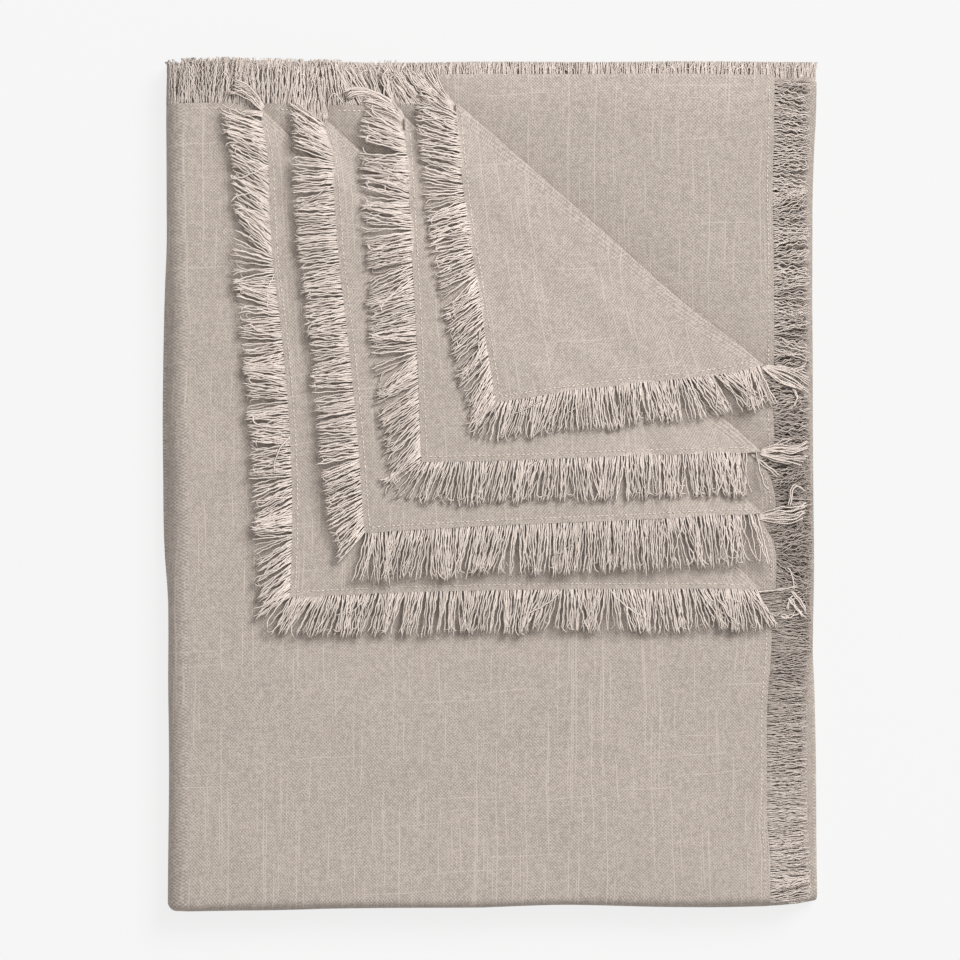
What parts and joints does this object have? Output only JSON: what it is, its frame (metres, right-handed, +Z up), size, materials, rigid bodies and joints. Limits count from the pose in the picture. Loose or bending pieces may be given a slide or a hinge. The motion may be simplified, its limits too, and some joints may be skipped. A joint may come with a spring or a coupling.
{
  "type": "folded fringed tablecloth",
  "caption": "Rectangular cotton tablecloth with a frayed fringe all round, folded into a flat pile with its corners turned back in a fan of nested flaps.",
  "frame": {"origin": "middle of the woven pile, on the surface that its lowest layer lies on", "axes": "+Z up from the surface, +Y along the pile towards the end where the corners are turned back, +X from the thick left fold towards the frayed right hems"},
  "size_m": [0.3366, 0.4394, 0.0257],
  "materials": {
    "cloth": "matt greige slub cotton, plain weave, with lighter thick threads along and across",
    "fringe": "matt loose cotton yarns of the same colour, frayed from the edge of the cloth"
  },
  "bodies": {
    "root": {"tablecloth": "cloth", "fringe_corner_1_left": "fringe", "fringe_corner_1_lower": "fringe", "fringe_corner_2_left": "fringe", "fringe_corner_2_lower": "fringe", "fringe_corner_3_left": "fringe", "fringe_corner_3_lower": "fringe", "fringe_corner_4_left": "fringe", "fringe_corner_4_lower": "fringe", "fringe_right_1": "fringe", "fringe_right_2": "fringe", "fringe_right_3": "fringe", "fringe_right_4": "fringe", "fringe_right_5": "fringe", "fringe_right_8": "fringe", "fringe_top_2": "fringe", "fringe_top_3": "fringe", "fringe_top_4": "fringe", "fringe_top_13": "fringe", "fringe_top_outer": "fringe"}
  },
  "joints": []
}
